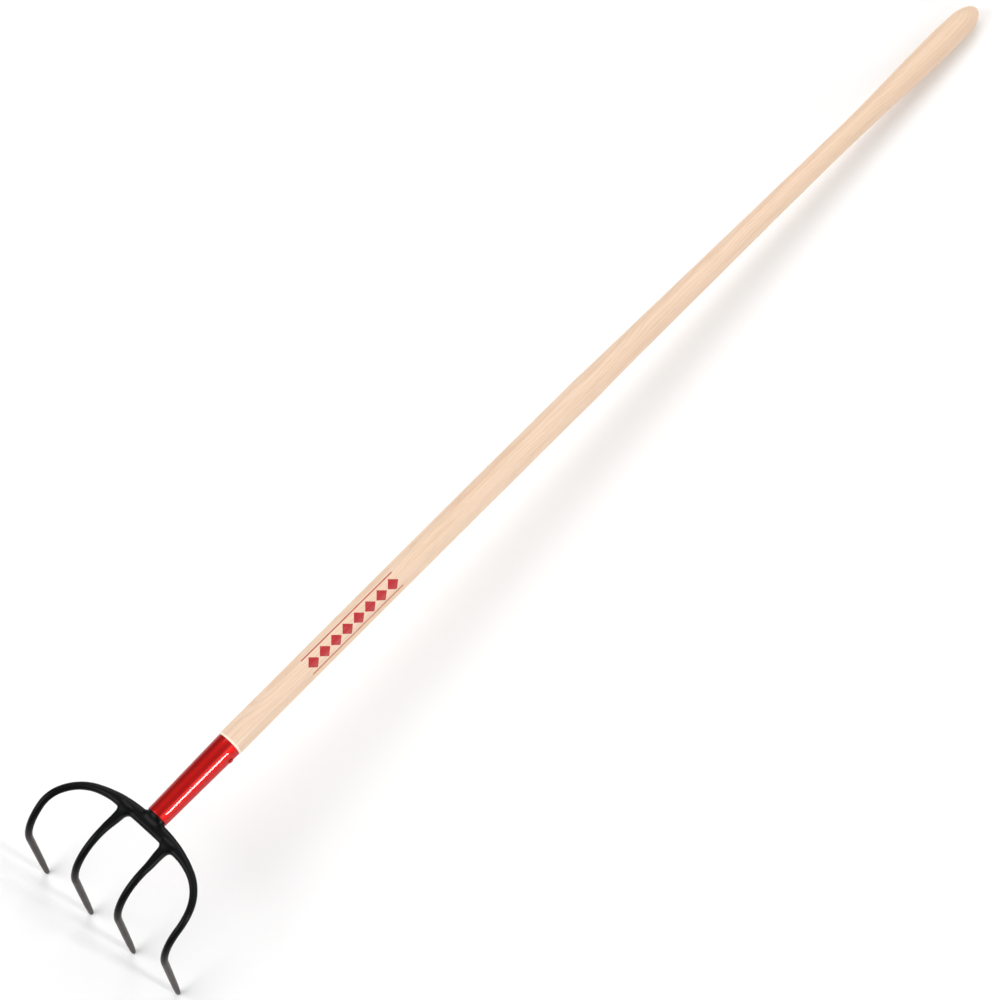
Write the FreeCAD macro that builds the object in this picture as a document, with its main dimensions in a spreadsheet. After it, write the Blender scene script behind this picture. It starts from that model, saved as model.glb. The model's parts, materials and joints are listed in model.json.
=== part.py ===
import FreeCAD, Part
import math
import os
import PartDesign
import Sketcher

# Long-handled hand cultivator: a forged head with four tines, a steel ferrule,
# an ash handle and the pin that holds the three together.
# Tool frame: X runs up the handle from the lower end of the ferrule, Y is across
# the head, Z is up and the tines bend down. Millimetres. TOOL_AT then lays the
# tool on its four tips and the swell of the handle, centred over the origin.

V = FreeCAD.Vector
DOC = FreeCAD.newDocument("cultivator")

SIZES = {
    "handle_reach": 1374.0,        # ferrule bottom to the end of the handle
    "handle_start": 3.0,           # where the wood starts inside the ferrule
    "grip_radius": 16.8,           # straight lower length of the handle
    "grip_end": 700.0,             # the handle tapers from here
    "nose_start": 1343.0,          # the rounded end starts here
    "nose_radius": 15.3,
    "shoulder_chamfer": 1.2,
    "ferrule_reach": 119.0,
    "ferrule_low_radius": 14.2,
    "ferrule_top_radius": 16.2,
    "ferrule_low_inside": 13.0,
    "ferrule_top_inside": 15.0,
    "wood_low_radius": 12.9,
    "wood_top_radius": 14.9,
    "ferrule_lip": 1.0,
    "tang_reach": 112.0,
    "tang_low_radius": 5.6,
    "tang_top_radius": 3.4,
    "bore_low_radius": 5.8,
    "bore_top_radius": 3.6,
    "bore_reach": 114.0,
    "pin_place": 106.0,
    "pin_radius": 2.0,
    "pin_hole_radius": 2.1,
    "pin_head_radius": 3.6,
    "pin_head_seat": 16.1,
    "pin_head_rim": 0.4,
    "pin_head_rise": 1.4,
    "pin_depth": 9.0,              # how far the pin passes the handle's axis
    "crown_thickness": 11.0,
    "crown_rounding": 4.0,
    "arch_back": 1.5,              # back of the arch, ahead of the ferrule
    "shoulder_ahead": 6.4,         # where the back of the arch starts to sweep
    "shoulder_side": 46.0,
    "bay_front": 19.9,             # front of the arch between the inner tines
    "crotch_radius": 5.6,
    "boss_radius": 12.8,
    "spigot_reach": 2.5,           # how far the boss stands inside the ferrule
    "boss_depth": 12.0,
    "boss_half_width": 14.5,
    "boss_half_height": 5.2,
    "bend_start": 53.0,            # flat length ahead of the ferrule
    "bend_radius": 56.0,
    "tine_drop": 112.5,            # straight length below the bend
    "inner_offset": 34.4,
    "inner_spread": 1.1,           # how far the inner tines open past the root
    "inner_root": 28.5,
    "inner_root_width": 12.3,
    "outer_centre_ahead": 78.0,    # centre of the outer tine's sweep in plan
    "outer_centre_side": 52.0,
    "outer_sweep_radius": 61.4,
    "outer_root_angle": 20.0,
    "outer_root_width": 10.0,
    "outer_toe_in": 3.3,           # how far the outer tips lean back in
    "root_squareness": 2.9,        # fullness of a tine's corners at its root
    "joining_length": 60.0,        # over which both kinds of tine become alike
}

# Diameter of the handle past grip_end: (place along it, diameter).
HANDLE_TAPER = (
    (700.0, 33.6), (765.0, 31.5), (840.0, 29.9), (920.0, 28.5), (1000.0, 26.9),
    (1080.0, 25.6), (1160.0, 25.4), (1205.0, 26.8), (1245.0, 29.3), (1285.0, 31.2),
    (1315.0, 32.0), (1343.0, 30.6),
)

# Sections of the tines past their roots: (place, width, thickness, squareness).
# The places of an inner tine are ahead of the ferrule, those of an outer tine are
# along it from its root, and those of the tip are back from the end of any tine.
# A squareness of 2 is an oval and a larger one has fuller corners.
INNER_TINE = (
    (40.0, 10.8, 10.4, 2.4), (50.0, 9.9, 10.0, 2.0), (75.0, 9.0, 9.4, 2.0),
    (140.0, 8.8, 9.2, 2.0),
)
OUTER_TINE = ((25.0, 9.4, 10.2, 2.0), (60.0, 9.0, 9.4, 2.0), (250.0, 8.6, 8.8, 2.0))
TINE_TIP = (
    (60.0, 8.2, 8.4, 2.0), (30.0, 7.6, 7.8, 2.0), (6.0, 6.5, 6.3, 2.0),
    (2.0, 6.1, 5.6, 2.0), (0.0, 5.2, 4.6, 2.0),
)


def make_sheet():
    """The spreadsheet with every driving size under its own name."""
    sheet = DOC.addObject("Spreadsheet::Sheet", "Sizes")
    for row, (name, value) in enumerate(SIZES.items(), start=1):
        sheet.set("A%d" % row, name)
        sheet.set("B%d" % row, "%g" % value)
        sheet.setAlias("B%d" % row, name)
    DOC.recompute()
    return sheet


SHEET = make_sheet()


def size(name):
    return float(SHEET.get(name))


def bind(thing, prop, name):
    """Drive a property from the named spreadsheet cell."""
    thing.setExpression(prop, "Sizes.%s" % name)


def new_body(label):
    body = DOC.addObject("PartDesign::Body", label)
    body.Label = label
    return body


def new_sketch(body, plane, label, offset=0.0):
    """A sketch on one of the body's own planes, moved along its normal."""
    sketch = body.newObject("Sketcher::SketchObject", label)
    support = [f for f in body.Origin.OriginFeatures if f.Role == plane][0]
    sketch.AttachmentSupport = [(support, "")]
    sketch.MapMode = "FlatFace"
    sketch.AttachmentOffset = FreeCAD.Placement(V(0, 0, offset), FreeCAD.Rotation())
    return sketch


def number(value):
    return size(value) if isinstance(value, str) else float(value)


def draw_outline(sketch, points):
    """A closed outline of straight lines. A coordinate given by name is driven
    by that cell of the spreadsheet; a zero puts the corner on the axis."""
    corners = [V(number(x), number(y), 0) for x, y in points]
    first = sketch.GeometryCount
    for here, after in zip(corners, corners[1:] + corners[:1]):
        sketch.addGeometry(Part.LineSegment(here, after), False)
    last = sketch.GeometryCount - 1
    for line in range(first, last):
        sketch.addConstraint(Sketcher.Constraint("Coincident", line, 2, line + 1, 1))
    sketch.addConstraint(Sketcher.Constraint("Coincident", last, 2, first, 1))
    for line, point in zip(range(first, last + 1), points):
        for axis, kind, value in ((-2, "DistanceX", point[0]), (-1, "DistanceY", point[1])):
            place_corner(sketch, line, axis, kind, value)


def place_corner(sketch, line, axis, kind, value):
    if value == 0:
        sketch.addConstraint(Sketcher.Constraint("PointOnObject", line, 1, axis))
        return
    rule = Sketcher.Constraint(kind, -1, 1, line, 1, number(value))
    index = sketch.addConstraint(rule)
    if isinstance(value, str):
        sketch.setExpression("Constraints[%d]" % index, "Sizes.%s" % value)


def draw_circle(sketch, x, y, radius_name):
    """A circle at a fixed centre with its radius driven by name."""
    circle = Part.Circle(V(x, y, 0), V(0, 0, 1), size(radius_name))
    index = sketch.addGeometry(circle, False)
    rule = sketch.addConstraint(Sketcher.Constraint("Radius", index, size(radius_name)))
    bind(sketch, "Constraints[%d]" % rule, radius_name)
    return index


def revolve(body, sketch, label):
    """Turn a sketch round its own horizontal axis."""
    turned = body.newObject("PartDesign::Revolution", label)
    turned.Profile = sketch
    turned.ReferenceAxis = (sketch, ["H_Axis"])
    turned.Angle = 360
    sketch.Visibility = False
    DOC.recompute()
    return turned


def bore_across(body, label, depth_past_axis, depth_name="pin_hole_radius"):
    """The cross hole for the pin: in from the -Y side to just past the axis."""
    sketch = new_sketch(body, "XZ_Plane", label + "_sketch", -depth_past_axis)
    draw_circle(sketch, size("pin_place"), 0.0, depth_name)
    DOC.recompute()
    before = body.Shape.Volume
    hole = body.newObject("PartDesign::Pocket", label)
    hole.Profile = sketch
    hole.Length = depth_past_axis + 30.0
    DOC.recompute()
    if abs(body.Shape.Volume - before) < 1e-6 or body.Shape.isInside(
            V(size("pin_place"), -5.0, 0), 1e-3, False):
        hole.Reversed = not hole.Reversed
        DOC.recompute()
    return hole


def make_handle():
    """Ash handle: a tapered end for the ferrule, a blind bore for the tang, a
    long straight length, a taper and a rounded swell at the far end."""
    body = new_body("handle")
    sketch = new_sketch(body, "XZ_Plane", "handle_profile")
    start, reach = size("handle_start"), size("handle_reach")
    shoulder, chamfer = size("ferrule_reach"), size("shoulder_chamfer")
    grip, nose = size("grip_radius"), size("nose_start")
    straight = [
        V(reach, 0, 0),
        V(size("bore_reach"), 0, 0),
        V(size("bore_reach"), size("bore_top_radius"), 0),
        V(start, size("bore_low_radius"), 0),
        V(start, size("wood_low_radius"), 0),
        V(shoulder, size("wood_top_radius"), 0),
        V(shoulder, grip - chamfer, 0),
        V(shoulder + chamfer, grip, 0),
        V(size("grip_end"), grip, 0),
    ]
    for here, after in zip(straight, straight[1:]):
        sketch.addGeometry(Part.LineSegment(here, after), False)
    taper = Part.BSplineCurve()
    taper.interpolate(
        Points=[V(place, across / 2.0, 0) for place, across in HANDLE_TAPER],
        InitialTangent=V(1, 0, 0), FinalTangent=V(1, -0.03, 0))
    sketch.addGeometry(taper, False)
    nose_oval = Part.Ellipse(V(reach, 0, 0), V(nose, size("nose_radius"), 0), V(nose, 0, 0))
    sketch.addGeometry(Part.ArcOfEllipse(nose_oval, 0, math.pi / 2), False)
    DOC.recompute()
    revolve(body, sketch, "handle_turned")
    bore_across(body, "handle_pin_hole", size("pin_depth") + 0.5)
    return body


def make_ferrule():
    """Tapered steel tube with a lower lip turned in round the boss."""
    body = new_body("ferrule")
    sketch = new_sketch(body, "XZ_Plane", "ferrule_profile")
    draw_outline(sketch, (
        (0, "ferrule_low_inside"),
        ("ferrule_reach", "ferrule_top_inside"),
        ("ferrule_reach", "ferrule_top_radius"),
        (0, "ferrule_low_radius"),
    ))
    DOC.recompute()
    tube = revolve(body, sketch, "ferrule_tube")
    edges = ["Edge%d" % (i + 1) for i, edge in enumerate(tube.Shape.Edges)
             if is_rim(edge, 0.0, size("ferrule_low_radius"))]
    lip = body.newObject("PartDesign::Fillet", "ferrule_lip")
    lip.Base = (tube, edges)
    lip.Radius = size("ferrule_lip")
    bind(lip, "Radius", "ferrule_lip")
    DOC.recompute()
    bore_across(body, "ferrule_pin_hole", 0.0)
    return body


def is_rim(edge, x, radius):
    """True for the full circle of that radius round the X axis at x."""
    if not hasattr(edge.Curve, "Radius"):
        return False
    return abs(edge.Curve.Radius - radius) < 1e-3 and abs(edge.Curve.Center.x - x) < 1e-3


def make_pin():
    """Drive pin: a domed head outside the ferrule and a blunt pointed shank."""
    body = new_body("tang_pin")
    sketch = new_sketch(body, "XZ_Plane", "pin_profile")
    seat, depth = size("pin_head_seat"), size("pin_depth")
    shank, head = size("pin_radius"), size("pin_head_radius")
    rim, top = seat + size("pin_head_rim"), seat + size("pin_head_rise")
    sides = [
        V(top, 0, 0),
        V(-depth, 0, 0),
        V(-depth, shank * 0.3, 0),
        V(-depth + shank, shank, 0),
        V(seat, shank, 0),
        V(seat, head, 0),
        V(rim, head, 0),
    ]
    for here, after in zip(sides, sides[1:]):
        sketch.addGeometry(Part.LineSegment(here, after), False)
    ball = (head ** 2 + (top - rim) ** 2) / (2 * (top - rim))
    turn = math.asin(head / ball) / 2
    middle = V(top - ball + ball * math.cos(turn), ball * math.sin(turn), 0)
    sketch.addGeometry(Part.Arc(sides[-1], middle, sides[0]), False)
    DOC.recompute()
    revolve(body, sketch, "pin_turned")
    return body


# The head is drawn flat first, with f the distance ahead of the ferrule and y
# the distance to the side, and then bent down round a level cylinder.

def bend(f, y):
    """Where a point of the flat head goes, with the directions there that the
    flat head's forward and upward directions turn into."""
    start, radius = size("bend_start"), size("bend_radius")
    turn = min(max((f - start) / radius, 0.0), math.pi / 2)
    below = max(f - start - radius * math.pi / 2, 0.0)
    ahead = min(f, start) + radius * math.sin(turn)
    down = radius * (1 - math.cos(turn)) + below
    forward = V(-math.cos(turn), 0, -math.sin(turn))
    upward = V(-math.sin(turn), 0, math.cos(turn))
    return V(-ahead, y, -down), forward, upward


def flat_length():
    return size("bend_start") + size("bend_radius") * math.pi / 2 + size("tine_drop")


def blend(at, table):
    """Straight-line reading of a table whose rows start with their place."""
    for low, high in zip(table, table[1:]):
        if at <= high[0]:
            share = max(at - low[0], 0.0) / (high[0] - low[0])
            return [a + (b - a) * share for a, b in zip(low[1:], high[1:])]
    return table[-1][1:]


def inner_path():
    """Flat places and directions along the left inner tine."""
    root, end = size("inner_root"), flat_length()
    offset, spread = size("inner_offset"), size("inner_spread")
    table = ((root, offset), (root + 22.0, offset + spread), (end, offset + spread))
    stops = [root + (end - root) * i / 17.0 for i in range(18)] + [end - 2.0, end - 6.0]
    return [(f, blend(f, table)[0], 1.0, 0.0) for f in sorted(stops)]


def outer_path():
    """Flat places and directions along the left outer tine: round the sweep
    from its root, then straight on with a little toe-in."""
    ahead, side = size("outer_centre_ahead"), size("outer_centre_side")
    sweep, end = size("outer_sweep_radius"), flat_length()
    path = []
    for i in range(9):
        a = math.radians(size("outer_root_angle") + (90.0 - size("outer_root_angle")) * i / 8.0)
        path.append((ahead - sweep * math.cos(a), side + sweep * math.sin(a),
                     math.sin(a), math.cos(a)))
    straight = [ahead + (end - ahead) * i / 12.0 for i in range(1, 13)] + [end - 2.0, end - 6.0]
    lean = size("outer_toe_in") / (end - ahead)
    for f in sorted(straight):
        path.append((f, side + sweep - lean * (f - ahead), 1.0, -lean))
    return path


def tip_table():
    """TINE_TIP with its places counted ahead of the ferrule."""
    end = flat_length()
    return tuple((end - row[0],) + row[1:] for row in TINE_TIP)


def root_row(place, width_name):
    return (place, size(width_name), size("crown_thickness"), size("root_squareness"))


def inner_section(f, gone):
    """Width, thickness and squareness of an inner tine at flat place f, whatever
    length has gone before."""
    root = root_row(size("inner_root"), "inner_root_width")
    return blend(f, (root,) + INNER_TINE + tip_table())


def outer_section(f, gone):
    """The same for an outer tine, where gone is the length along it so far."""
    tip = tip_table()
    joined = tip[0][0]
    if f >= joined:
        return blend(f, tip)
    here = blend(gone, (root_row(0.0, "outer_root_width"),) + OUTER_TINE)
    there = tip[0][1:]
    share = max(0.0, 1.0 - (joined - f) / size("joining_length"))
    return [a + (b - a) * share for a, b in zip(here, there)]


def section_wire(place, side, width, thickness, squareness):
    """A closed smooth outline square to the tine: a rounded bar section."""
    centre, forward, upward = bend(place[0], place[1])
    across = forward * (-place[3] * side) + V(0, 1, 0) * place[2]
    across = across.normalize()
    points = []
    for step in range(16):
        a = 2 * math.pi * step / 16
        c, s = math.cos(a), math.sin(a)
        u = math.copysign(abs(c) ** (2.0 / squareness), c) * width / 2
        v = math.copysign(abs(s) ** (2.0 / squareness), s) * thickness / 2
        points.append(centre + across * u + upward * v)
    curve = Part.BSplineCurve()
    curve.interpolate(Points=points, PeriodicFlag=True)
    return Part.Wire([curve.toShape()])


def make_tine(label, path, side, section):
    """One tine lofted through its sections; side is +1 or -1 across the head."""
    wires, gone = [], 0.0
    for i, (f, y, df, dy) in enumerate(path):
        if i:
            gone += math.hypot(f - path[i - 1][0], y - path[i - 1][1])
        place = (f, y * side, df, dy)
        wires.append(section_wire(place, side, *section(f, gone)))
    shape = Part.makeLoft(wires, True, False, False)
    if shape.Volume < 0:
        shape.reverse()
    tine = DOC.addObject("Part::Feature", label)
    tine.Label = label
    tine.Shape = shape
    return tine


def corner_arc(f, y, radius, toward_f, toward_y):
    """A quarter round in a crotch: it starts level across the head, ends along
    the tine, and its centre lies toward_f, toward_y of the corner (f, y)."""
    f0, y0 = f + toward_f * radius, y + toward_y * radius
    bit = radius * math.sqrt(0.5)
    return ((f, y0), (f0 - toward_f * bit, y0 - toward_y * bit), (f0, y))


def tangent_arc(start, slope, end):
    """Three points of the arc that leaves start at that angle to the Y axis."""
    df, dy = end[0] - start[0], end[1] - start[1]
    chord, lean = math.hypot(df, dy), math.atan2(df, dy)
    rise = chord / 2 * math.tan((lean - slope) / 2)
    middle = ((start[0] + end[0]) / 2 - rise * math.cos(lean),
              (start[1] + end[1]) / 2 + rise * math.sin(lean))
    return (start, middle, end)


def crown_half(side):
    """Outline of one half of the crown in plan, from the back corner of the
    arch to the front edge of its middle bay, as runs of points in (f, y)."""
    angle = math.radians(size("outer_root_angle"))
    ahead, across = size("outer_centre_ahead"), size("outer_centre_side")
    sweep, half = size("outer_sweep_radius"), size("outer_root_width") / 2

    def on_ray(radius):
        return (ahead - radius * math.cos(angle), across + radius * math.sin(angle))

    root, centre = size("inner_root"), size("inner_offset")
    tine = size("inner_root_width") / 2
    outside, inside = centre + tine, centre - tine
    bay, crotch = size("bay_front"), size("crotch_radius")
    back, shoulder = size("arch_back"), (size("shoulder_ahead"), size("shoulder_side"))
    back_slope = 2 * math.atan2(shoulder[0] - back, shoulder[1])
    outer_crotch = corner_arc(bay + 0.7, outside, crotch, 1, 1)
    inner_crotch = corner_arc(bay, inside, crotch, 1, -1)
    front = tangent_arc(outer_crotch[0], 0.0, on_ray(sweep - half))
    runs = [
        tangent_arc(shoulder, back_slope, on_ray(sweep + half)),
        (on_ray(sweep + half), on_ray(sweep - half)),
        front[::-1],
        outer_crotch,
        (outer_crotch[-1], (root, outside)),
        ((root, outside), (root, inside)),
        ((root, inside), inner_crotch[-1]),
        inner_crotch[::-1],
    ]
    return [[V(-f, y * side, 0) for f, y in run] for run in runs]


def make_crown():
    """The arch of the forged head with its boss and the tang behind it, cut
    square where each tine leaves it."""
    body = new_body("crown")
    sketch = new_sketch(body, "XY_Plane", "arch_plan")
    halves = [crown_half(1), crown_half(-1)]
    for run in halves[0] + halves[1]:
        curve = Part.LineSegment(*run) if len(run) == 2 else Part.Arc(*run)
        sketch.addGeometry(curve, False)
    back = V(-size("arch_back"), 0, 0)
    sketch.addGeometry(Part.Arc(halves[0][0][0], back, halves[1][0][0]), False)
    sketch.addGeometry(Part.LineSegment(halves[0][-1][-1], halves[1][-1][-1]), False)
    DOC.recompute()
    arch = body.newObject("PartDesign::Pad", "arch")
    arch.Profile = sketch
    arch.Midplane = True
    bind(arch, "Length", "crown_thickness")
    DOC.recompute()
    soft = body.newObject("PartDesign::Fillet", "arch_rounding")
    soft.Base = (arch, long_edges(arch.Shape))
    bind(soft, "Radius", "crown_rounding")
    DOC.recompute()
    add_boss(body)
    add_tang(body)
    bore_across(body, "tang_pin_hole", size("pin_depth") + 0.5)
    return body


def long_edges(shape):
    """Names of the arch's upper and lower edges, without those round the cuts."""
    names = []
    level = size("crown_thickness") / 2
    for i, edge in enumerate(shape.Edges):
        box = edge.BoundBox
        flat = abs(abs(box.ZMin) - level) < 1e-3 and box.ZLength < 1e-3
        if not flat or is_cut(edge):
            continue
        names.append("Edge%d" % (i + 1))
    return names


def is_cut(edge):
    """True for the straight edges where a tine joins the crown."""
    if edge.Curve.TypeId != "Part::GeomLine":
        return False
    widths = (size("inner_root_width"), size("outer_root_width"))
    return any(abs(edge.Length - width) < 1e-3 for width in widths)


def add_boss(body):
    """Neck that goes from round at the ferrule to flat in the arch."""
    round_end = new_sketch(body, "YZ_Plane", "boss_round", 0.0)
    draw_circle(round_end, 0.0, 0.0, "boss_radius")
    flat_end = new_sketch(body, "YZ_Plane", "boss_flat", -size("boss_depth"))
    wide, tall = size("boss_half_width"), size("boss_half_height")
    flat_end.addGeometry(Part.Ellipse(V(wide, 0, 0), V(0, tall, 0), V(0, 0, 0)), False)
    DOC.recompute()
    boss = body.newObject("PartDesign::AdditiveLoft", "boss")
    boss.Profile = round_end
    boss.Sections = [flat_end]
    DOC.recompute()


def add_tang(body):
    """Tapered round tang that is driven up the bore of the handle, and the
    short round spigot in front of it that closes the ferrule."""
    sketch = new_sketch(body, "XZ_Plane", "tang_profile")
    draw_outline(sketch, (
        (-6.0, 0),
        ("tang_reach", 0),
        ("tang_reach", "tang_top_radius"),
        ("spigot_reach", "tang_low_radius"),
        ("spigot_reach", "boss_radius"),
        (0, "boss_radius"),
        (-6.0, "tang_low_radius"),
    ))
    DOC.recompute()
    revolve(body, sketch, "tang")


def turned_box(part, placement):
    """The part's exact bounds once the tool has that placement."""
    shape = part.Shape.copy()
    shape.Placement = placement.multiply(shape.Placement)
    return shape.optimalBoundingBox(True)


def lay_down(parts, handle, tine):
    """Tilt the tool until the tine tips and the end of the handle touch one
    level floor, and centre it over the origin."""
    slope = 6.0
    reach = size("handle_reach") + size("bend_start") + size("bend_radius")
    for _ in range(4):
        tilt = FreeCAD.Placement(V(0, 0, 0), FreeCAD.Rotation(V(0, 1, 0), slope))
        gap = turned_box(tine, tilt).ZMin - turned_box(handle, tilt).ZMin
        slope -= math.degrees(math.atan2(gap, reach))
    boxes = [turned_box(part, tilt) for part in parts]
    west, east = min(b.XMin for b in boxes), max(b.XMax for b in boxes)
    south, north = min(b.YMin for b in boxes), max(b.YMax for b in boxes)
    floor = min(b.ZMin for b in boxes)
    shift = FreeCAD.Placement(V(-(west + east) / 2, -(south + north) / 2, -floor),
                              FreeCAD.Rotation())
    print("handle slopes down %.4f degrees, ferrule end at %.3f %.3f %.3f"
          % (slope, *shift.Base))
    return shift.multiply(tilt)


def build():
    handle = make_handle()
    ferrule = make_ferrule()
    crown = make_crown()
    pin = make_pin()
    inner, outer = inner_path(), outer_path()
    tines = [
        make_tine("tine_outer_left", outer, -1, outer_section),
        make_tine("tine_inner_left", inner, -1, inner_section),
        make_tine("tine_inner_right", inner, 1, inner_section),
        make_tine("tine_outer_right", outer, 1, outer_section),
    ]
    DOC.recompute()
    # the pin is turned along its own X axis and driven in from the -Y side
    pin_in_tool = FreeCAD.Placement(V(size("pin_place"), 0, 0),
                                    FreeCAD.Rotation(V(0, 0, 1), -90))
    tool = lay_down([handle, ferrule, crown] + tines, handle, tines[0])
    for part in [handle, ferrule, crown] + tines:
        part.Placement = tool.multiply(part.Placement)
    pin.Placement = tool.multiply(pin_in_tool)
    DOC.recompute()
    return [handle, ferrule, crown, pin] + tines


def check_and_export(parts):
    for thing in DOC.Objects:
        if "Invalid" in thing.State or "Error" in thing.State:
            raise RuntimeError("%s did not compute: %s" % (thing.Label, thing.State))
    os.makedirs("parts", exist_ok=True)
    for part in parts:
        shape = part.Shape
        if shape.isNull() or not shape.isValid() or shape.Volume <= 0:
            raise RuntimeError("%s has a bad shape" % part.Label)
        shape.exportStep("parts/%s.step" % part.Label)
        box = shape.BoundBox
        print("%-18s solids %d faces %3d volume %9.0f  x %8.1f %8.1f  y %7.1f %7.1f  z %6.1f %6.1f"
              % (part.Label, len(shape.Solids), len(shape.Faces), shape.Volume,
                 box.XMin, box.XMax, box.YMin, box.YMax, box.ZMin, box.ZMax))


check_and_export(build())
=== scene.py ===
import json
import math

import bpy
import numpy as np
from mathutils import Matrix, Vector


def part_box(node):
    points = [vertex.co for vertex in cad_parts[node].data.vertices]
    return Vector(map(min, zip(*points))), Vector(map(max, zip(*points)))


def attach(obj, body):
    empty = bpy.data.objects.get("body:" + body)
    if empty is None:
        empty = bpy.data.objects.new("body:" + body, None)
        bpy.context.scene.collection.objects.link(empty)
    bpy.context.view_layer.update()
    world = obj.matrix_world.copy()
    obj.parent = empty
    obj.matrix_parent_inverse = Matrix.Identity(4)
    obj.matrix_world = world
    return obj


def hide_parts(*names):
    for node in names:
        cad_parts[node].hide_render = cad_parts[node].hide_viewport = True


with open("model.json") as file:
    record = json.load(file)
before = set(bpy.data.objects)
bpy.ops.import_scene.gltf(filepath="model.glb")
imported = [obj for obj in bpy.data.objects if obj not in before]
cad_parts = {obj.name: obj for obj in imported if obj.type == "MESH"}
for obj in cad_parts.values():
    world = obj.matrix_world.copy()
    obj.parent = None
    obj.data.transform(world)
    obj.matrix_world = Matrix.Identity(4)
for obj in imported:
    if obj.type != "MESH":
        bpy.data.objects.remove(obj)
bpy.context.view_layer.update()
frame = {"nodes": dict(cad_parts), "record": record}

import openvdb
from mathutils import Matrix, Quaternion, Vector

# Lengths of the tool are in millimetres in its own frame: X runs up the handle from
# the lower end of the ferrule, Y is across the head and Z is up. MM turns them to metres.
MM = 0.001

GRIP_RADIUS, GRIP_END, HANDLE_REACH = 16.8, 700.0, 1374.0
SHOULDER_ROUND = 1.2
FERRULE_REACH, FERRULE_WALL = 119.0, 1.2
FERRULE_LOW, FERRULE_TOP = 14.2, 16.2
FERRULE_ROUNDS = (0.25, 0.35, 0.5, 1.0)
WOOD_START, WOOD_LOW, WOOD_TOP = 3.0, 12.9, 14.9
BORE_REACH, BORE_LOW, BORE_TOP = 114.0, 5.8, 3.6
NOSE_START, NOSE_RADIUS = 1343.0, 15.3
# The handle's diameter past its grip, and how fast it changes at both ends of that.
HANDLE_TAPER = (
    (700.0, 33.6), (765.0, 31.5), (840.0, 29.9), (920.0, 28.5), (1000.0, 26.9),
    (1080.0, 25.6), (1160.0, 25.4), (1205.0, 26.8), (1245.0, 29.3), (1285.0, 31.2),
    (1315.0, 32.0), (1343.0, 30.6),
)
TAPER_SLOPES = (0.0, -0.06)
# How far the handle's bow carries its axis to +Y, and how fast at both ends.
BOW = (
    (0.0, 0.0), (60.0, 0.85), (119.0, 1.5), (200.0, 2.2), (400.0, 3.6), (550.0, 4.3),
    (760.0, 4.5), (900.0, 3.7), (1050.0, 2.8), (1200.0, 1.4), (1374.0, 0.4),
)
BOW_SLOPES = (0.012, -0.008)
PIN_PLACE, PIN_RADIUS, PIN_POINT, PIN_DEPTH = 106.0, 2.0, 0.6, 9.0
PIN_HEAD, PIN_SEAT, PIN_RIM, PIN_RISE = 3.6, 16.1, 0.4, 1.4


def tool_frame():
    """The tool's frame in the row: its axis is the grip mount's axis, and its
    origin is the lower end of the ferrule on that axis."""
    grip = frame["record"]["mounts"][0]
    axis = Vector(grip["axis"]).normalized()
    along = [v.co @ axis for v in frame["nodes"]["ferrule"].data.vertices]
    base = Vector(grip["pos_m"])
    origin = base + axis * (min(along) - base @ axis)
    across = Vector((0, 1, 0))
    up = axis.cross(across)
    turn = Matrix((axis, across, up)).transposed().to_4x4()
    return Matrix.Translation(origin) @ turn @ Matrix.Scale(MM, 4)


TOOL = tool_frame()


def smoothstep(value):
    """0 to 1 as value goes from 0 to 1, level at both ends."""
    share = np.clip(value, 0.0, 1.0)
    return share * share * (3 - 2 * share)


def smooth_table(table, places, end_slopes):
    """Cubic curve through a table of (place, value), read at places."""
    x, y = np.array(table, float).T
    slope = np.gradient(y, x)
    slope[0], slope[-1] = end_slopes
    k = np.clip(np.searchsorted(x, places, side="right") - 1, 0, len(x) - 2)
    width = x[k + 1] - x[k]
    t = (places - x[k]) / width
    return ((1 + 2 * t) * (1 - t) ** 2 * y[k] + t * (1 - t) ** 2 * width * slope[k]
            + t * t * (3 - 2 * t) * y[k + 1] - t * t * (1 - t) * width * slope[k + 1])


def toward(azimuth, elevation):
    """The direction out of the scene at an azimuth from -Y towards +X and an
    elevation above the floor, in degrees."""
    a, e = math.radians(azimuth), math.radians(elevation)
    return Vector((math.sin(a) * math.cos(e), -math.cos(a) * math.cos(e), math.sin(e)))


# ---------------------------------------------------------------- materials

RING_WIDTH = 2.6
RING_DRIFT_Y, RING_DRIFT_Z = 22.0, 15.0
# How finely the wood's patterns vary along the handle and across it, per millimetre.
DRIFT_GRAIN = (0.0045, 0.02, 0.02)
FIBRE_GRAIN = (0.025, 0.9, 0.9)
STREAK_GRAIN = (0.012, 0.35, 0.35)
PORE_GRAIN = (0.06, 2.4, 2.4)
BROAD_GRAIN = (0.004, 0.05, 0.05)
PALE_ASH, TAN_ASH = (0.845, 0.635, 0.475, 1), (0.72, 0.48, 0.315, 1)
BROWN_PORE, HONEY_ASH = (0.47, 0.275, 0.155, 1), (0.76, 0.52, 0.345, 1)
# The first colour here is the shoulder ring above the ferrule: the cream of bare cut wood, made
# paler as a painted highlight.
CREAM_SHOULDER_AND_HIGHLIGHT, PRINT_RED = (0.95, 0.88, 0.70, 1), (0.47, 0.010, 0.016, 1)
HONEY_START, HONEY_FULL = 800.0, 1200.0
# Width and fade of the shoulder ring, which is partly bare wood and partly a painted highlight.
BARE_AND_LIT_WIDTH, BARE_AND_LIT_FADE = 2.2, 1.0
MARK_PLACE, MARK_TURN = 318.0, math.radians(70)
MARK_STEP, MARK_HALF, MARK_TALL, MARK_FILL = 18.6, 74.4, 9.4, 0.46
LINE_PLACE, LINE_HALF = 11.6, 0.7
FLOW_GRAIN = (0.03, 0.12, 0.12)
# Heights down the tines where the painted reflection of the pale floor starts and where it is
# full.
PAINTED_REFLECTION_START, PAINTED_REFLECTION_FULL = -20.0, -62.0


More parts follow.
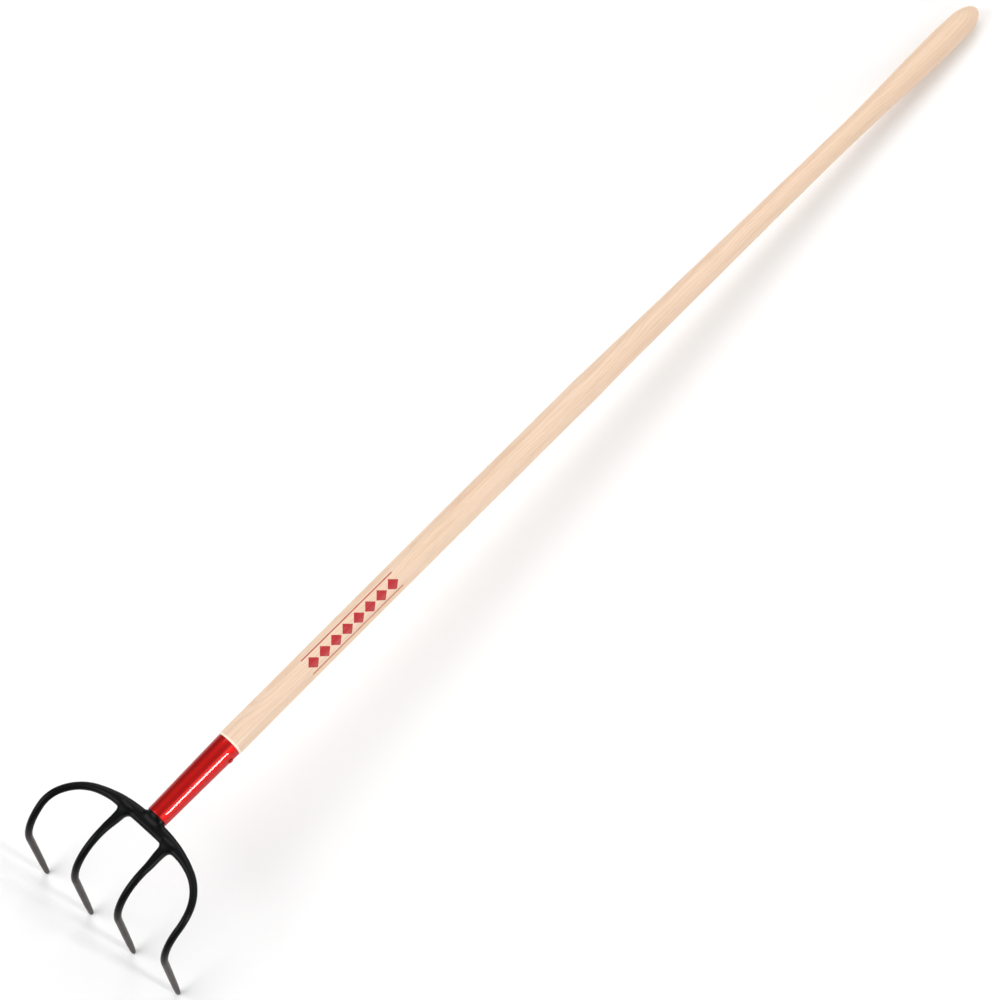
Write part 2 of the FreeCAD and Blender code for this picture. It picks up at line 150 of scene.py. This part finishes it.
class Nodes:
    """A material's node tree with short calls for making and joining nodes."""

    def __init__(self, name):
        self.material = bpy.data.materials.new(name)
        self.material.use_nodes = True
        self.tree = self.material.node_tree
        self.shader = self.tree.nodes["Principled BSDF"]

    def put(self, socket, value):
        """Joins value to a socket, or sets it there when it is plain."""
        if isinstance(value, bpy.types.NodeSocket):
            self.tree.links.new(value, socket)
        else:
            socket.default_value = value

    def node(self, kind, settings=None, **inputs):
        """A new node with its settings and inputs given by name."""
        made = self.tree.nodes.new(kind)
        for key, value in (settings or {}).items():
            setattr(made, key, value)
        for key, value in inputs.items():
            self.put(made.inputs[key.replace("_", " ")], value)
        return made

    def math(self, operation, *values):
        """The result of a math node."""
        made = self.tree.nodes.new("ShaderNodeMath")
        made.operation = operation
        for socket, value in zip(made.inputs, values):
            self.put(socket, value)
        return made.outputs[0]

    def tool_point(self, stretch=(1, 1, 1)):
        """Position in the tool's own frame in millimetres, scaled by stretch."""
        coordinates = self.node("ShaderNodeTexCoord")
        place = self.node("ShaderNodeMapping", {"vector_type": "TEXTURE"},
                          Vector=coordinates.outputs["Object"],
                          Location=TOOL.to_translation(), Rotation=TOOL.to_euler(),
                          Scale=(MM, MM, MM))
        sized = self.node("ShaderNodeVectorMath", {"operation": "MULTIPLY"})
        self.put(sized.inputs[0], place.outputs[0])
        sized.inputs[1].default_value = stretch
        return sized.outputs[0]

    def split(self, point):
        """A point's three coordinates."""
        return self.node("ShaderNodeSeparateXYZ", Vector=point).outputs

    def noise(self, point, scale, detail, roughness=0.5):
        """Cloudy values from 0 to 1, with scale cycles to each unit of point."""
        made = self.node("ShaderNodeTexNoise", Vector=point, Scale=scale, Detail=detail,
                         Roughness=roughness)
        return made.outputs["Fac"]

    def mix(self, share, low, high):
        """A colour between two, or a socket's colour, by share."""
        made = self.tree.nodes.new("ShaderNodeMix")
        made.data_type = "RGBA"
        self.put(made.inputs[0], share)
        self.put(made.inputs[6], low)
        self.put(made.inputs[7], high)
        return made.outputs[2]

    def span(self, value, low, high, to_low=0.0, to_high=1.0):
        """value from low..high carried to to_low..to_high and held at the ends."""
        made = self.node("ShaderNodeMapRange", {"interpolation_type": "SMOOTHSTEP"})
        for socket, number in zip(made.inputs, (value, low, high, to_low, to_high)):
            self.put(socket, number)
        return made.outputs[0]

    def bump(self, height, distance, strength=1.0):
        """Relief on the surface, with distance in metres."""
        made = self.node("ShaderNodeBump", Height=height, Distance=distance, Strength=strength)
        self.put(self.shader.inputs["Normal"], made.outputs[0])

    def finish(self, **inputs):
        """The material, with the shader's inputs given by name."""
        for key, value in inputs.items():
            self.put(self.shader.inputs[key.replace("_", " ")], value)
        return self.material


def ash_wood():
    """Pale lacquered ash: growth rings cut lengthwise, fine pores, a cream ring on
    the shoulder above the ferrule that is partly bare cut wood and partly a painted highlight,
    and a print."""
    n = Nodes("ash_wood")
    x, y, z = n.split(n.tool_point())
    late = late_wood(n, y, z)
    fibre = n.noise(n.tool_point(FIBRE_GRAIN), 1.0, 6.0, 0.65)
    streak = n.noise(n.tool_point(STREAK_GRAIN), 1.0, 3.0, 0.6)
    pores = n.span(n.noise(n.tool_point(PORE_GRAIN), 1.0, 2.0), 0.60, 0.72)
    broad = n.noise(n.tool_point(BROAD_GRAIN), 1.0, 3.0)
    ringed = n.math("MULTIPLY", late, n.span(fibre, 0.3, 0.7, 0.12, 0.50))
    colour = n.mix(ringed, PALE_ASH, TAN_ASH)
    colour = n.mix(n.span(streak, 0.48, 0.72, 0.0, 0.45), colour, TAN_ASH)
    colour = n.mix(n.span(broad, 0.45, 0.75, 0.0, 0.25), colour, TAN_ASH)
    pitted = n.math("MULTIPLY", pores, n.span(late, 0.2, 0.8, 0.10, 0.34))
    colour = n.mix(pitted, colour, BROWN_PORE)
    colour = n.mix(n.span(x, HONEY_START, HONEY_FULL, 0.0, 0.28), colour, HONEY_ASH)
    # Cream ring on the shoulder just above the ferrule: partly bare cut wood, partly a painted
    # highlight where the rounded shoulder catches the light.
    bare_and_lit_end = FERRULE_REACH + BARE_AND_LIT_WIDTH
    colour = n.mix(n.span(x, bare_and_lit_end, bare_and_lit_end + BARE_AND_LIT_FADE, 0.95, 0.0), colour, CREAM_SHOULDER_AND_HIGHLIGHT)
    inked = n.math("MULTIPLY", printed_mark(n, x, y, z), n.span(fibre, 0.28, 0.45, 0.75, 1.0))
    colour = n.mix(inked, colour, PRINT_RED)
    n.bump(n.math("SUBTRACT", n.math("MULTIPLY", fibre, 0.8), pores), 0.00006)
    return n.finish(Base_Color=colour, Roughness=n.span(fibre, 0.3, 0.7, 0.42, 0.55),
                    Coat_Weight=0.12, Coat_Roughness=0.3)


def late_wood(n, y, z):
    """Where the growth rings are dark: rings round a pith that wanders near the
    handle's middle."""
    drift = n.noise(n.tool_point(DRIFT_GRAIN), 1.0, 2.0)
    pith_y = n.math("MULTIPLY_ADD", drift, RING_DRIFT_Y, y)
    pith_z = n.math("MULTIPLY_ADD", drift, RING_DRIFT_Z, z)
    squares = n.math("ADD", n.math("POWER", pith_y, 2.0), n.math("POWER", pith_z, 2.0))
    turns = n.math("MULTIPLY", n.math("SQRT", squares), 2 * math.pi / RING_WIDTH)
    return n.span(n.math("SINE", turns), 0.0, 1.0)


def printed_mark(n, x, y, z):
    """A plain ornament of red lozenges between two lines, on the side of the
    handle that faces up and to the user's left."""
    turn = n.math("MULTIPLY", n.math("ARCTAN2", z, n.math("MULTIPLY", y, -1.0)), GRIP_RADIUS)
    side = n.math("ABSOLUTE", n.math("SUBTRACT", turn, MARK_TURN * GRIP_RADIUS))
    along = n.math("SUBTRACT", x, MARK_PLACE)
    place = n.math("PINGPONG", along, MARK_STEP)
    step = n.math("ABSOLUTE", n.math("SUBTRACT", place, MARK_STEP / 2))
    across = n.math("MULTIPLY", side, MARK_STEP / 2 / MARK_TALL)
    lozenge = n.math("LESS_THAN", n.math("ADD", step, across), MARK_STEP * MARK_FILL)
    line = n.math("COMPARE", side, LINE_PLACE, LINE_HALF)
    inside = n.math("LESS_THAN", n.math("ABSOLUTE", along), MARK_HALF)
    return n.math("MULTIPLY", n.math("MAXIMUM", lozenge, line), inside)


def red_enamel():
    """Glossy red stove enamel: a faint metal flake under a smooth clear coat."""
    n = Nodes("red_enamel")
    flow = n.noise(n.tool_point(FLOW_GRAIN), 1.0, 2.0)
    flake = n.noise(n.tool_point(), 1.9, 2.0)
    colour = n.mix(n.span(flow, 0.3, 0.7), (0.86, 0.030, 0.026, 1), (0.94, 0.040, 0.036, 1))
    colour = n.mix(n.span(flake, 0.62, 0.75, 0.0, 0.35), colour, (1.0, 0.16, 0.10, 1))
    n.bump(flow, 0.00015, 0.25)
    return n.finish(Base_Color=colour, Metallic=0.85,
                    Roughness=n.span(flake, 0.3, 0.8, 0.40, 0.50),
                    Specular_Tint=(0.75, 0.12, 0.10, 1), Coat_Weight=0.9, Coat_Roughness=0.03,
                    Coat_IOR=1.38, Coat_Tint=(0.62, 0.20, 0.20, 1))


def black_enamel():
    """Black enamel over forged steel: low hammer flats, a fine orange peel, faint
    dusty specks and a warm grey painted reflection that grows down the tines."""
    n = Nodes("black_enamel")
    point = n.tool_point()
    z = n.split(point)[2]
    flats = n.noise(point, 0.085, 2.0, 0.4)
    peel = n.noise(point, 0.9, 3.0, 0.55)
    dust = n.span(n.noise(point, 2.4, 3.0, 0.7), 0.58, 0.74)
    colour = n.mix(dust, (0.0022, 0.0024, 0.0028, 1), (0.0065, 0.0065, 0.0072, 1))
    # Painted reflection: a warm grey laid into the colour down the lower tines, in place of the
    # pale floor that they mirror.
    painted_reflection = n.math("MULTIPLY", n.span(z, PAINTED_REFLECTION_FULL, PAINTED_REFLECTION_START, 1.0, 0.0),
                  n.span(peel, 0.3, 0.7, 0.75, 1.0))
    colour = n.mix(painted_reflection, colour, (0.042, 0.031, 0.0275, 1))
    n.bump(n.math("ADD", flats, n.math("MULTIPLY", peel, 0.06)), 0.0006, 0.4)
    return n.finish(Base_Color=colour, Roughness=n.span(peel, 0.3, 0.7, 0.28, 0.38),
                    Specular_IOR_Level=0.13)


def pale_floor():
    """Matt white paint, faintly cloudy."""
    n = Nodes("studio_floor")
    cloud = n.noise(n.node("ShaderNodeTexCoord").outputs["Object"], 3.0, 3.0)
    colour = n.mix(cloud, (0.95, 0.95, 0.95, 1), (0.98, 0.98, 0.98, 1))
    return n.finish(Base_Color=colour, Roughness=n.span(cloud, 0.0, 1.0, 0.75, 0.9),
                    Specular_IOR_Level=0.1)


# ---------------------------------------------------------------- the forged head

# The head is drawn flat and then bent down. Flat places are (f, y, z): f is the
# distance ahead of the ferrule, y to the side and z above the crown's middle.

BEND_START, BEND_RADIUS, TINE_DROP = 53.0, 56.0, 112.5
FLAT_END = BEND_START + BEND_RADIUS * math.pi / 2 + TINE_DROP
SWEEP_F, SWEEP_Y, SWEEP_RADIUS, SWEEP_START = 78.0, 52.0, 61.4, math.radians(20)
TOE_IN = 3.3
ARCH_MIDDLE = 10.7
SHOULDER = (13.5, 46.0)
INNER_ROOT, INNER_OFFSET, INNER_SPREAD = ARCH_MIDDLE + 2.0, 34.4, 1.1
SPREAD_START, SPREAD_RUN = 28.5, 22.0
BOSS_RADIUS, SPIGOT = 12.8, 2.5
NECK_RUN, NECK_END, NECK_SPREAD, NECK_HALF = 13.0, 15.0, 3.0, 4.6
TANG_REACH, TANG_ROOT, TANG_TAPER = 112.0, 5.6, 2.2
BLEND, BOSS_BLEND = 5.0, 4.0
# The grid that the skin is taken from, how many of its steps hold true distances,
# and the step that measures how a distance changes.
VOXEL, BAND_STEPS, PROBE = 0.7, 3, 0.05
GRID_BACK, GRID_FRONT, GRID_SIDE, GRID_DEPTH = 3.0, 4.0, 122.0, 14.0


def bend(flat):
    """Where flat points go when the head is bent down, in the tool's frame."""
    f, y, z = flat.T
    turn = np.clip((f - BEND_START) / BEND_RADIUS, 0.0, math.pi / 2)
    below = np.maximum(f - BEND_START - BEND_RADIUS * math.pi / 2, 0.0)
    radius = BEND_RADIUS + z
    ahead = np.minimum(f, BEND_START) + radius * np.sin(turn)
    down = BEND_RADIUS - radius * np.cos(turn) + below
    return np.column_stack((-ahead, y, -down))


class Bar:
    """A bar along a plan path, with half width, half thickness and squareness
    given at some of its lengths, and ends that round off over cap."""

    STEP = 0.5
    BATCH = 4096

    def __init__(self, path, sizes, cap=2.2):
        path = np.array(path, float)
        gone = np.concatenate(([0.0], np.cumsum(np.hypot(*np.diff(path, axis=0).T))))
        self.length = gone[-1]
        self.s = np.arange(0.0, self.length, self.STEP)
        self.centre = np.column_stack([np.interp(self.s, gone, path[:, i]) for i in (0, 1)])
        tangent = np.gradient(self.centre, self.s, axis=0)
        self.tangent = tangent / np.linalg.norm(tangent, axis=1)[:, None]
        self.sizes = np.array(sizes, float)
        self.cap = cap

    def nearest(self, f, y):
        """The number of the bar's centre point nearest to each plan point."""
        near = np.empty(f.shape, int)
        for start in range(0, f.size, self.BATCH):
            cut = slice(start, start + self.BATCH)
            df = f[cut, None] - self.centre[:, 0]
            dy = y[cut, None] - self.centre[:, 1]
            near[cut] = np.argmin(df * df + dy * dy, axis=1)
        return near

    def distance(self, near, f, y, z):
        """About how far points are outside the bar, in millimetres."""
        df, dy, t = f - self.centre[near, 0], y - self.centre[near, 1], self.tangent[near]
        s = self.s[near] + df * t[:, 0] + dy * t[:, 1]
        u = dy * t[:, 0] - df * t[:, 1]
        places, wide, thick, square = self.sizes.T
        a, b, n = (np.interp(s, places, column) for column in (wide, thick, square))
        past = np.maximum(s - (self.length - self.cap), 0.0) / self.cap
        before = np.maximum(self.cap - s, 0.0) / self.cap
        g = (np.abs(u) / a) ** n + (np.abs(z) / b) ** n + past ** 3 + before ** 3
        return (g ** (1.0 / n) - 1.0) * np.minimum(a, b)


def arc_points(start, slope, end, steps=24):
    """Points of the arc that leaves start at that angle to the Y axis."""
    df, dy = end[0] - start[0], end[1] - start[1]
    chord, lean = math.hypot(df, dy), math.atan2(df, dy)
    half = lean - slope
    radius = chord / (2 * math.sin(half))
    turns = np.linspace(0.0, 2 * half, steps)
    f = start[0] + radius * (math.cos(slope) - np.cos(slope + turns))
    y = start[1] + radius * (np.sin(slope + turns) - math.sin(slope))
    return np.column_stack((f, y))


def long_bar():
    """The crown's arch and both outer tines: one bar from tip to tip."""
    shoulder_slope = 2 * math.atan2(SHOULDER[0] - ARCH_MIDDLE, SHOULDER[1])
    sweep = np.linspace(SWEEP_START, math.pi / 2, 80)
    sweep = np.column_stack((SWEEP_F - SWEEP_RADIUS * np.cos(sweep),
                             SWEEP_Y + SWEEP_RADIUS * np.sin(sweep)))
    half = np.vstack((arc_points((ARCH_MIDDLE, 0.0), 0.0, SHOULDER),
                      arc_points(SHOULDER, shoulder_slope, sweep[0])[1:], sweep[1:],
                      [(FLAT_END, SWEEP_Y + SWEEP_RADIUS - TOE_IN)]))
    path = np.vstack((half[::-1] * (1, -1), half[1:]))
    reach = np.sum(np.hypot(*np.diff(half, axis=0).T))
    profile = np.array([
        (0.0, 9.2, 5.6, 3.2), (30.0, 8.5, 5.5, 3.2), (46.0, 7.4, 5.4, 3.0),
        (58.0, 6.1, 5.3, 2.6), (75.0, 5.2, 5.2, 2.2), (100.0, 4.7, 4.9, 1.95),
        (140.0, 4.5, 4.7, 1.9),
        (reach - 110.0, 4.4, 4.6, 1.95), (reach - 60.0, 4.15, 4.2, 1.95),
        (reach - 30.0, 3.85, 3.95, 1.95), (reach - 8.0, 3.4, 3.3, 2.0), (reach, 2.9, 2.6, 2.2)])
    sizes = np.vstack((profile[::-1] * (-1, 1, 1, 1), profile[1:])) + (reach, 0, 0, 0)
    return Bar(path, sizes)


def inner_bar(side):
    """One inner tine, from inside the crown to its tip."""
    f = np.linspace(INNER_ROOT, FLAT_END, 120)
    y = INNER_OFFSET + INNER_SPREAD * smoothstep((f - SPREAD_START) / SPREAD_RUN)
    reach = FLAT_END - INNER_ROOT
    sizes = [
        (0.0, 6.6, 5.4, 3.0), (13.0, 6.3, 5.5, 2.9), (27.0, 5.6, 5.2, 2.3),
        (42.0, 4.9, 4.9, 1.95), (62.0, 4.6, 4.7, 1.95), (127.0, 4.5, 4.6, 1.95),
        (reach - 60.0, 4.3, 4.35, 1.95), (reach - 30.0, 3.95, 4.05, 1.95),
        (reach - 8.0, 3.4, 3.35, 2.0), (reach, 2.9, 2.6, 2.2)]
    return Bar(np.column_stack((f, y * side)), sizes)


def smooth_union(a, b, radius):
    """The lesser of two distances, with a fillet where they meet."""
    share = np.clip(0.5 + 0.5 * (b - a) / radius, 0.0, 1.0)
    return b + (a - b) * share - radius * share * (1.0 - share)


def boss_distance(f, y, z):
    """The neck, round at the ferrule and flat in the arch."""
    share = smoothstep(f / NECK_RUN)
    wide = BOSS_RADIUS + NECK_SPREAD * share
    tall = BOSS_RADIUS + (NECK_HALF - BOSS_RADIUS) * share
    round_part = (np.sqrt((y / wide) ** 2 + (z / tall) ** 2) - 1.0) * np.minimum(wide, tall)
    return np.maximum(round_part, np.maximum(-f - SPIGOT, f - NECK_END))


def tang_distance(f, y, z):
    """The round tapered tang behind the spigot."""
    radius = TANG_ROOT - TANG_TAPER * np.clip(-f / TANG_REACH, 0.0, 1.0)
    return np.maximum(np.hypot(y, z) - radius, np.maximum(-f - TANG_REACH, f))


def head_distance(bars, nearest, f, y, z):
    """How far points are outside the whole head; nearest holds each bar's answer
    to Bar.nearest for them."""
    total = bars[0].distance(nearest[0], f, y, z)
    for bar, near in zip(bars[1:], nearest[1:]):
        total = smooth_union(total, bar.distance(near, f, y, z), BLEND)
    total = smooth_union(total, boss_distance(f, y, z), BOSS_BLEND)
    return np.minimum(total, tang_distance(f, y, z))


def skin(bars):
    """The head's surface as flat points and quads, from a grid of distances."""
    f = np.arange(-TANG_REACH - GRID_BACK, FLAT_END + GRID_FRONT, VOXEL)
    y = np.arange(-GRID_SIDE, GRID_SIDE + VOXEL, VOXEL)
    z = np.arange(-GRID_DEPTH, GRID_DEPTH + VOXEL, VOXEL)
    plan_f, plan_y = (m.ravel() for m in np.meshgrid(f, y, indexing="ij"))
    nearest = [bar.nearest(plan_f, plan_y) for bar in bars]
    limit = BAND_STEPS * VOXEL
    grid = np.empty((f.size, y.size, z.size), np.float32)
    for k, level in enumerate(z):
        total = head_distance(bars, nearest, plan_f, plan_y, np.full(plan_f.shape, level))
        grid[:, :, k] = np.clip(total, -limit, limit).reshape(f.size, y.size)
    volume = openvdb.FloatGrid(limit)
    volume.copyFromArray(grid)
    points, quads = volume.convertToQuads(isovalue=0.0)
    points = points * VOXEL + (f[0], y[0], z[0])
    return settle(bars, points.astype(float)), quads


def settle(bars, points):
    """Moves points of the rough skin onto the true surface."""
    nearest = [bar.nearest(points[:, 0], points[:, 1]) for bar in bars]
    least_slope, longest_move = 0.5, 0.5
    for _ in range(2):
        here = head_distance(bars, nearest, *points.T)
        near = [head_distance(bars, nearest, *(points + PROBE * axis).T) for axis in np.eye(3)]
        slope = (np.column_stack(near) - here[:, None]) / PROBE
        size = np.maximum(np.sum(slope * slope, axis=1), least_slope ** 2)
        points = points - slope * np.clip(here / size, -longest_move, longest_move)[:, None]
    return points


def make_piece(name, points, faces, material, slot, *stands_for):
    """A smooth piece from points in the straight tool's frame, given the handle's
    bow and set to ride on the tool."""
    mesh = bpy.data.meshes.new(name)
    bowed = points.copy()
    bowed[:, 1] += smooth_table(BOW, np.clip(points[:, 0], 0.0, HANDLE_REACH), BOW_SLOPES)
    placed = np.column_stack((bowed, np.ones(len(points)))) @ np.array(TOOL).T
    mesh.from_pydata(placed[:, :3], [], faces)
    mesh.polygons.foreach_set("use_smooth", [True] * len(mesh.polygons))
    mesh.materials.append(material)
    mesh.update()
    piece = bpy.data.objects.new(name, mesh)
    bpy.context.scene.collection.objects.link(piece)
    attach(piece, "root")
    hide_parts(*stands_for)
    return piece


def make_head(material):
    """The forging: crown, boss, tang and four tines in one skin."""
    bars = [long_bar(), inner_bar(1), inner_bar(-1)]
    flat, quads = skin(bars)
    return make_piece("forged_head", bend(flat), quads.tolist(), material, "black_enamel",
                      "crown", "tine_outer_left", "tine_inner_left", "tine_inner_right",
                      "tine_outer_right")


# ---------------------------------------------------------------- turned pieces

HANDLE_SIDES, FERRULE_SIDES, PIN_SIDES = 96, 128, 40
GRIP_FIRST_RING, GRIP_STEP, TAPER_STEP = 128.0, 12.0, 6.0


def lathe(profile, sides, closed=False):
    """Rings and faces of a profile of (x, radius) turned round X. A zero radius
    becomes one point; a closed profile joins its last ring to its first."""
    points, rings, faces = [], [], []
    turns = np.arange(sides) * 2 * math.pi / sides
    for x, radius in profile:
        start = len(points)
        if radius == 0.0:
            points.append((x, 0.0, 0.0))
            rings.append([start] * sides)
        else:
            points.extend((x, radius * math.cos(a), radius * math.sin(a)) for a in turns)
            rings.append(list(range(start, start + sides)))
    pairs = list(zip(rings, rings[1:] + rings[:1])) if closed else list(zip(rings, rings[1:]))
    for low, high in pairs:
        for i in range(sides):
            j = (i + 1) % sides
            corners = [low[i], low[j], high[j], high[i]]
            faces.append([v for k, v in enumerate(corners) if v != corners[k - 1]])
    return np.array(points), faces


def round_corner(before, corner, after, radius, steps=5):
    """Points of a small round in place of a profile's corner."""
    before, corner, after = (np.array(p, float) for p in (before, corner, after))
    back = (before - corner) / np.linalg.norm(before - corner)
    on = (after - corner) / np.linalg.norm(after - corner)
    shares = np.linspace(0.0, 1.0, steps)
    return [tuple(corner + radius * ((1 - t) ** 2 * back + t * t * on)) for t in shares]


def make_handle(material):
    """Turned ash handle: tenon with its bore, long grip, taper and rounded swell."""
    shoulder, grip = (FERRULE_REACH, GRIP_RADIUS), (GRIP_END, GRIP_RADIUS)
    profile = [(BORE_REACH, 0.0), (BORE_REACH, BORE_TOP), (WOOD_START, BORE_LOW),
               (WOOD_START, WOOD_LOW), (FERRULE_REACH, WOOD_TOP)]
    profile += round_corner((FERRULE_REACH, WOOD_TOP), shoulder, grip, SHOULDER_ROUND)
    profile += [(x, GRIP_RADIUS) for x in np.arange(GRIP_FIRST_RING, GRIP_END, GRIP_STEP)]
    places = np.arange(GRIP_END, NOSE_START, TAPER_STEP)
    profile += list(zip(places, smooth_table(HANDLE_TAPER, places, TAPER_SLOPES) / 2))
    turns = np.linspace(0.0, math.pi / 2, 18)
    nose = HANDLE_REACH - NOSE_START
    profile += [(NOSE_START + nose * math.sin(a), NOSE_RADIUS * math.cos(a)) for a in turns[:-1]]
    profile.append((HANDLE_REACH, 0.0))
    points, faces = lathe(profile, HANDLE_SIDES)
    return make_piece("ash_handle", points, faces, material, "ash_wood", "handle")


def make_ferrule(material):
    """Tapered steel tube with softened edges, its lower outer one the roundest."""
    inside = [(0.0, FERRULE_LOW - FERRULE_WALL), (FERRULE_REACH, FERRULE_TOP - FERRULE_WALL)]
    outside = [(FERRULE_REACH, FERRULE_TOP), (0.0, FERRULE_LOW)]
    corners = inside + outside
    profile = []
    for k, radius in enumerate(FERRULE_ROUNDS):
        profile += round_corner(corners[k - 1], corners[k], corners[(k + 1) % 4], radius)
        on_a_long_wall = k in (0, 2)
        if on_a_long_wall:
            here, there = np.array(corners[k]), np.array(corners[k + 1])
            profile += [tuple(here + (there - here) * t) for t in np.linspace(0.1, 0.9, 9)]
    points, faces = lathe(profile, FERRULE_SIDES, closed=True)
    return make_piece("steel_ferrule", points, faces, material, "red_enamel", "ferrule")


def make_pin(material):
    """Drive pin with a low domed head, driven in from the user's left."""
    rim, top = PIN_SEAT + PIN_RIM, PIN_SEAT + PIN_RISE
    ball = (PIN_HEAD ** 2 + (top - rim) ** 2) / (2 * (top - rim))
    turns = np.linspace(math.asin(PIN_HEAD / ball), 0.0, 9)
    profile = [(-PIN_DEPTH, 0.0), (-PIN_DEPTH, PIN_POINT),
               (PIN_RADIUS - PIN_DEPTH, PIN_RADIUS), (PIN_SEAT, PIN_RADIUS),
               (PIN_SEAT, PIN_HEAD)]
    profile += [(top - ball + ball * math.cos(a), ball * math.sin(a)) for a in turns[:-1]]
    profile.append((top, 0.0))
    points, faces = lathe(profile, PIN_SIDES)
    out, side, height = points.T
    placed = np.column_stack((PIN_PLACE + side, -out, height))
    return make_piece("drive_pin", placed, faces, material, "red_enamel", "tang_pin")


# ---------------------------------------------------------------- stage

VIEW_AZIMUTH, VIEW_ELEVATION, VIEW_ROLL = -17.87, 69.03, 29.98
VIEW_DISTANCE, VIEW_LENS = 8.135, 252.0
VIEW_TARGET = Vector((-0.0745, -0.0095, 0.0742))
FLOOR_HALF = 12.0
# Each soft box: name, azimuth, elevation, distance, width, height and power in watts.
STRIP = ("strip", 9.8, 22.5, 2.4, 0.26, 0.62, 20.0)
SIDE_BOX = ("side", 0.0, 44.0, 3.4, 2.6, 1.2, 12.0)
HEAD_END_BOX = ("head_end", -122.0, 45.0, 3.6, 2.8, 2.8, 72.0)
FAR_END_BOX = ("far_end", 122.0, 45.0, 3.6, 2.8, 2.8, 66.0)
FAR_SIDE_BOX = ("far_side", 58.0, 40.0, 3.2, 2.0, 2.0, 22.0)
MIDDLE, FAR_HALF = (0.0, 0.0, 0.1), (0.45, 0.0, 0.1)


def make_camera():
    """A long lens far off, above the user's left, rolled so that the handle
    rises to the right."""
    back = toward(VIEW_AZIMUTH, VIEW_ELEVATION)
    data = bpy.data.cameras.new("camera")
    data.lens, data.sensor_width = VIEW_LENS, 36.0
    data.clip_start, data.clip_end = 0.1, 100.0
    camera = bpy.data.objects.new("camera", data)
    camera.rotation_mode = "QUATERNION"
    roll = Quaternion((0, 0, 1), math.radians(-VIEW_ROLL))
    camera.rotation_quaternion = (-back).to_track_quat("-Z", "Y") @ roll
    camera.location = VIEW_TARGET + back * VIEW_DISTANCE
    bpy.context.scene.collection.objects.link(camera)
    bpy.context.scene.camera = camera


def make_floor():
    """A wide flat floor at the height that the tool rests on."""
    mesh = bpy.data.meshes.new("floor")
    turns = ((-1, -1), (1, -1), (1, 1), (-1, 1))
    corners = [(x * FLOOR_HALF, y * FLOOR_HALF, 0) for x, y in turns]
    mesh.from_pydata(corners, [], [(0, 1, 2, 3)])
    mesh.materials.append(pale_floor())
    floor = bpy.data.objects.new("floor", mesh)
    bpy.context.scene.collection.objects.link(floor)


def soft_box(aim, name, azimuth, elevation, distance, wide, tall, power):
    """An area light that faces aim from a direction given as the camera's is."""
    back = toward(azimuth, elevation)
    data = bpy.data.lights.new(name, "AREA")
    data.shape, data.size, data.size_y, data.energy = "RECTANGLE", wide, tall, power
    light = bpy.data.objects.new(name, data)
    light.location = Vector(aim) + back * distance
    light.rotation_mode = "QUATERNION"
    light.rotation_quaternion = (-back).to_track_quat("-Z", "Y")
    bpy.context.scene.collection.objects.link(light)


def middle_of(node):
    """The middle of a CAD node's box."""
    low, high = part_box(node)
    return (Vector(low) + Vector(high)) / 2


def make_light():
    """A low soft box on the user's left that the ferrule mirrors, soft boxes over
    the tool's ends and beside its handle, and a weak even fill."""
    soft_box(middle_of("ferrule"), *STRIP)
    for box in (SIDE_BOX, HEAD_END_BOX, FAR_END_BOX):
        soft_box(MIDDLE, *box)
    soft_box(FAR_HALF, *FAR_SIDE_BOX)
    world = bpy.data.worlds.new("studio")
    world.use_nodes = True
    background = world.node_tree.nodes["Background"]
    background.inputs["Color"].default_value = (1.0, 1.0, 1.0, 1)
    background.inputs["Strength"].default_value = 0.2
    bpy.context.scene.world = world
    bpy.context.scene.view_settings.view_transform = "Standard"


red = red_enamel()
make_head(black_enamel())
make_handle(ash_wood())
make_ferrule(red)
make_pin(red)
make_floor()
make_camera()
make_light()
